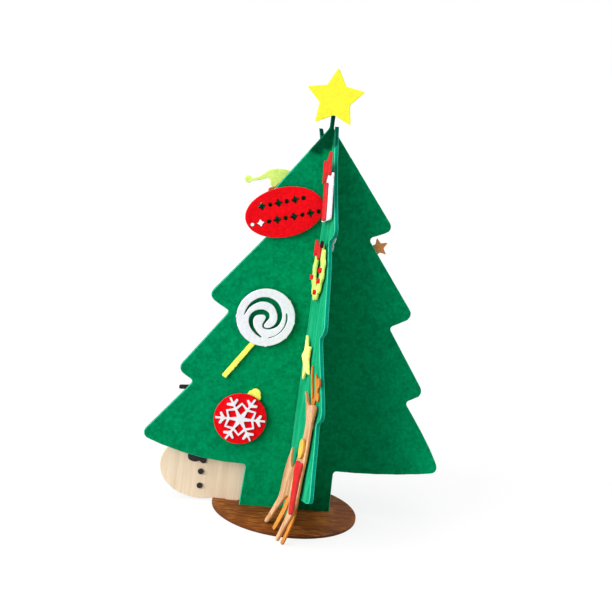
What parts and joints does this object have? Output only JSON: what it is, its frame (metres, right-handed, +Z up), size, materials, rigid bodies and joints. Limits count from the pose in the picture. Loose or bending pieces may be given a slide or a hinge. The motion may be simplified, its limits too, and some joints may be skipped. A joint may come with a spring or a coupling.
{
  "type": "felt christmas tree",
  "caption": "Tabletop tree of two crossed felt panels in a round slotted wooden base, with a star on top, pull-off felt ornaments and a flat wooden snowman beside it",
  "frame": {"origin": "centre of the base, on the table, under the crossing of the two panels", "axes": "+Z up; the main panel lies in the XZ plane and the cross panel in the YZ plane; the front is -Y"},
  "size_m": [0.2288, 0.2354, 0.3497],
  "materials": {
    "green_felt": "pressed craft felt",
    "yellow_felt": "pressed craft felt",
    "red_felt": "pressed craft felt",
    "white_felt": "pressed craft felt",
    "lime_felt": "pressed craft felt",
    "tan_felt": "pressed craft felt",
    "orange_felt": "pressed craft felt",
    "brown_felt": "pressed craft felt",
    "skin_felt": "pressed craft felt",
    "black_felt": "pressed craft felt",
    "black_board": "matte black paint on thin board",
    "orange_board": "matte orange paint on thin board",
    "pale_wood": "bare plywood with upright grain",
    "brown_wood": "stained and satin, laser-cut edges",
    "hook_pad": "hook-and-loop pad"
  },
  "bodies": {
    "base": {"base_disc": "brown_wood"},
    "cross": {"cross_panel": "green_felt"},
    "main": {"main_panel": "green_felt", "star_topper": "yellow_felt", "brown_star": "brown_felt"},
    "sign": {"sign_oval": "red_felt", "sign_hook_pad": "hook_pad"},
    "lollipop": {"lollipop_disc": "white_felt", "lollipop_stick": "yellow_felt", "lollipop_hook_pad": "hook_pad"},
    "bauble": {"bauble_disc": "red_felt", "bauble_snowflake": "white_felt", "bauble_cap": "yellow_felt", "bauble_hook_pad": "hook_pad"},
    "gift": {"gift_box": "white_felt", "gift_ribbon": "red_felt", "gift_bow": "red_felt", "gift_hook_pad": "hook_pad"},
    "wreath": {"wreath_ring": "lime_felt", "wreath_berry_1": "red_felt", "wreath_berry_2": "red_felt", "wreath_berry_3": "red_felt", "wreath_berry_4": "red_felt", "wreath_bow": "red_felt", "wreath_knot": "black_felt", "wreath_hook_pad": "hook_pad"},
    "yellow_star": {"yellow_star": "yellow_felt", "yellow_star_hook_pad": "hook_pad"},
    "reindeer": {"reindeer_body": "tan_felt", "reindeer_antlers": "orange_felt", "reindeer_far_hind_leg": "orange_felt", "reindeer_far_fore_leg": "orange_felt", "reindeer_scarf": "red_felt", "reindeer_bell": "orange_felt", "reindeer_hook_pad": "hook_pad"},
    "snowflake": {"snowflake": "white_felt", "snowflake_hook_pad": "hook_pad"},
    "elf": {"elf_hair": "brown_felt", "elf_face": "skin_felt", "elf_nose": "skin_felt", "elf_hat": "lime_felt", "elf_pompom": "lime_felt", "elf_hook_pad": "hook_pad"},
    "snowman": {"snowman_plate": "pale_wood", "snowman_hat": "black_board", "snowman_scarf": "black_board", "snowman_button_1": "black_board", "snowman_button_2": "black_board", "snowman_eye_left": "black_board", "snowman_eye_right": "black_board", "snowman_nose": "orange_board"}
  },
  "joints": [
    {"name": "cross_lift", "type": "slide", "parent": "base", "child": "cross", "axis": [0, 0, 1], "range_m": [0, 0.02]},
    {"name": "main_lift", "type": "slide", "parent": "cross", "child": "main", "axis": [0, 0, 1], "range_m": [0, 0.158]},
    {"name": "snowman_lift", "type": "slide", "parent": "base", "child": "snowman", "axis": [0, 0, 1], "range_m": [0, 0.012]},
    {"name": "sign_pull", "type": "slide", "parent": "main", "child": "sign", "axis": [-0.7071, -0.7071, 0], "range_m": [0, 0.012]},
    {"name": "lollipop_pull", "type": "slide", "parent": "main", "child": "lollipop", "axis": [0, -1, 0], "range_m": [0, 0.012]},
    {"name": "bauble_pull", "type": "slide", "parent": "main", "child": "bauble", "axis": [0, -1, 0], "range_m": [0, 0.012]},
    {"name": "elf_pull", "type": "slide", "parent": "main", "child": "elf", "axis": [0, 1, 0], "range_m": [0, 0.012]},
    {"name": "gift_pull", "type": "slide", "parent": "cross", "child": "gift", "axis": [-0.7071, -0.7071, 0], "range_m": [0, 0.012]},
    {"name": "wreath_pull", "type": "slide", "parent": "cross", "child": "wreath", "axis": [-1, 0, 0], "range_m": [0, 0.012]},
    {"name": "yellow_star_pull", "type": "slide", "parent": "cross", "child": "yellow_star", "axis": [-1, 0, 0], "range_m": [0, 0.012]},
    {"name": "reindeer_pull", "type": "slide", "parent": "cross", "child": "reindeer", "axis": [-1, 0, 0], "range_m": [0, 0.012]},
    {"name": "snowflake_pull", "type": "slide", "parent": "cross", "child": "snowflake", "axis": [1, 0, 0], "range_m": [0, 0.012]}
  ]
}
